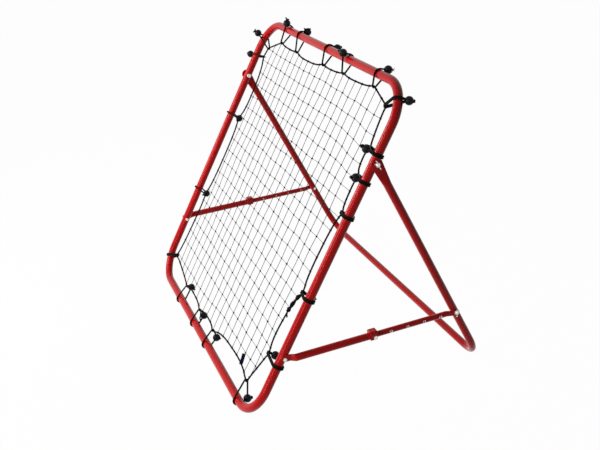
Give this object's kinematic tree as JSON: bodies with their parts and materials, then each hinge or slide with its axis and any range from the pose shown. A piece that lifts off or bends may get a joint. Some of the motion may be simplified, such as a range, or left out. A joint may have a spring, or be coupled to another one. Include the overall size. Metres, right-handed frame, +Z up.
{
  "type": "pitch back rebounder",
  "caption": "Leaning square tube frame with a sprung net tied in by elastic ball loops, held up by a pivoting rear leg and two telescoping braces.",
  "frame": {"origin": "centre of the overall box, on the ground: midway between the frame's foot and the leg's foot, on the part's middle plane", "axes": "+X across the frame, +Y from the frame's front foot to the leg's foot, +Z up"},
  "size_m": [1.0856, 0.7287, 0.8917],
  "materials": {
    "red_paint": "gloss",
    "zinc": "satin",
    "net_cord": "matte",
    "rope": "matte",
    "elastic": "matte",
    "ball_plastic": "gloss"
  },
  "bodies": {
    "frame": {"upper_frame": "red_paint", "lower_frame": "red_paint", "pivot_bolts": "zinc", "pivot_washers": "zinc", "pivot_wing_nuts": "zinc", "brace_bolts_front": "zinc", "brace_nuts_front": "zinc", "edge_rope": "rope", "rope_knot": "rope", "net": "net_cord", "bungee_balls": "ball_plastic", "bungee_left_5": "elastic", "bungee_top_1": "elastic", "bungee_top_2": "elastic", "bungee_top_3": "elastic", "bungee_top_4": "elastic", "bungee_top_5": "elastic", "bungee_right_1": "elastic", "bungee_right_2": "elastic", "bungee_right_3": "elastic", "bungee_right_4": "elastic", "bungee_right_5": "elastic", "bungee_right_6": "elastic", "bungee_bottom_1": "elastic", "bungee_bottom_2": "elastic", "bungee_bottom_3": "elastic", "bungee_bottom_4": "elastic", "bungee_left_1": "elastic", "bungee_left_2": "elastic", "bungee_left_3": "elastic", "bungee_left_4": "elastic"},
    "leg": {"rear_leg": "red_paint", "brace_bolts_rear": "zinc", "brace_washers_rear": "zinc", "brace_wing_nuts_rear": "zinc"},
    "brace_front_right": {"brace_front_right": "red_paint", "brace_saddle_right": "red_paint"},
    "brace_rear_right": {"brace_rear_right": "red_paint"},
    "lock_screw_right": {"lock_screw_right": "zinc"},
    "brace_front_left": {"brace_front_left": "red_paint", "brace_saddle_left": "red_paint"},
    "brace_rear_left": {"brace_rear_left": "red_paint"},
    "lock_screw_left": {"lock_screw_left": "zinc"}
  },
  "joints": [
    {"name": "leg_fold", "type": "hinge", "parent": "frame", "child": "leg", "pos_m": [0, 0.04969, 0.68178], "axis": [-1, 0, 0], "range_deg": [0, 20]},
    {"name": "brace_swing_right", "type": "hinge", "parent": "frame", "child": "brace_front_right", "pos_m": [0.5165, -0.24013, 0.1956], "axis": [-1, 0, 0], "range_deg": [0, 8.51]},
    {"name": "brace_slide_right", "type": "slide", "parent": "brace_front_right", "child": "brace_rear_right", "axis": [0, -1, -0.003], "range_m": [0, 0.1757]},
    {"name": "lock_screw_out_right", "type": "slide", "parent": "brace_front_right", "child": "lock_screw_right", "axis": [1, 0, 0], "range_m": [0, 0.01]},
    {"name": "brace_swing_left", "type": "hinge", "parent": "frame", "child": "brace_front_left", "pos_m": [-0.5165, -0.24013, 0.1956], "axis": [-1, 0, 0], "range_deg": [0, 8.51]},
    {"name": "brace_slide_left", "type": "slide", "parent": "brace_front_left", "child": "brace_rear_left", "axis": [0, -1, -0.003], "range_m": [0, 0.1757]},
    {"name": "lock_screw_out_left", "type": "slide", "parent": "brace_front_left", "child": "lock_screw_left", "axis": [-1, 0, 0], "range_m": [0, 0.01]}
  ],
  "couplings": [
    {"joint": "brace_swing_right", "follows": "leg_fold", "ratio": 0.4007},
    {"joint": "brace_slide_right", "follows": "leg_fold", "m_per_rad": 0.50179},
    {"joint": "brace_swing_left", "follows": "leg_fold", "ratio": 0.4007},
    {"joint": "brace_slide_left", "follows": "leg_fold", "m_per_rad": 0.50179}
  ]
}
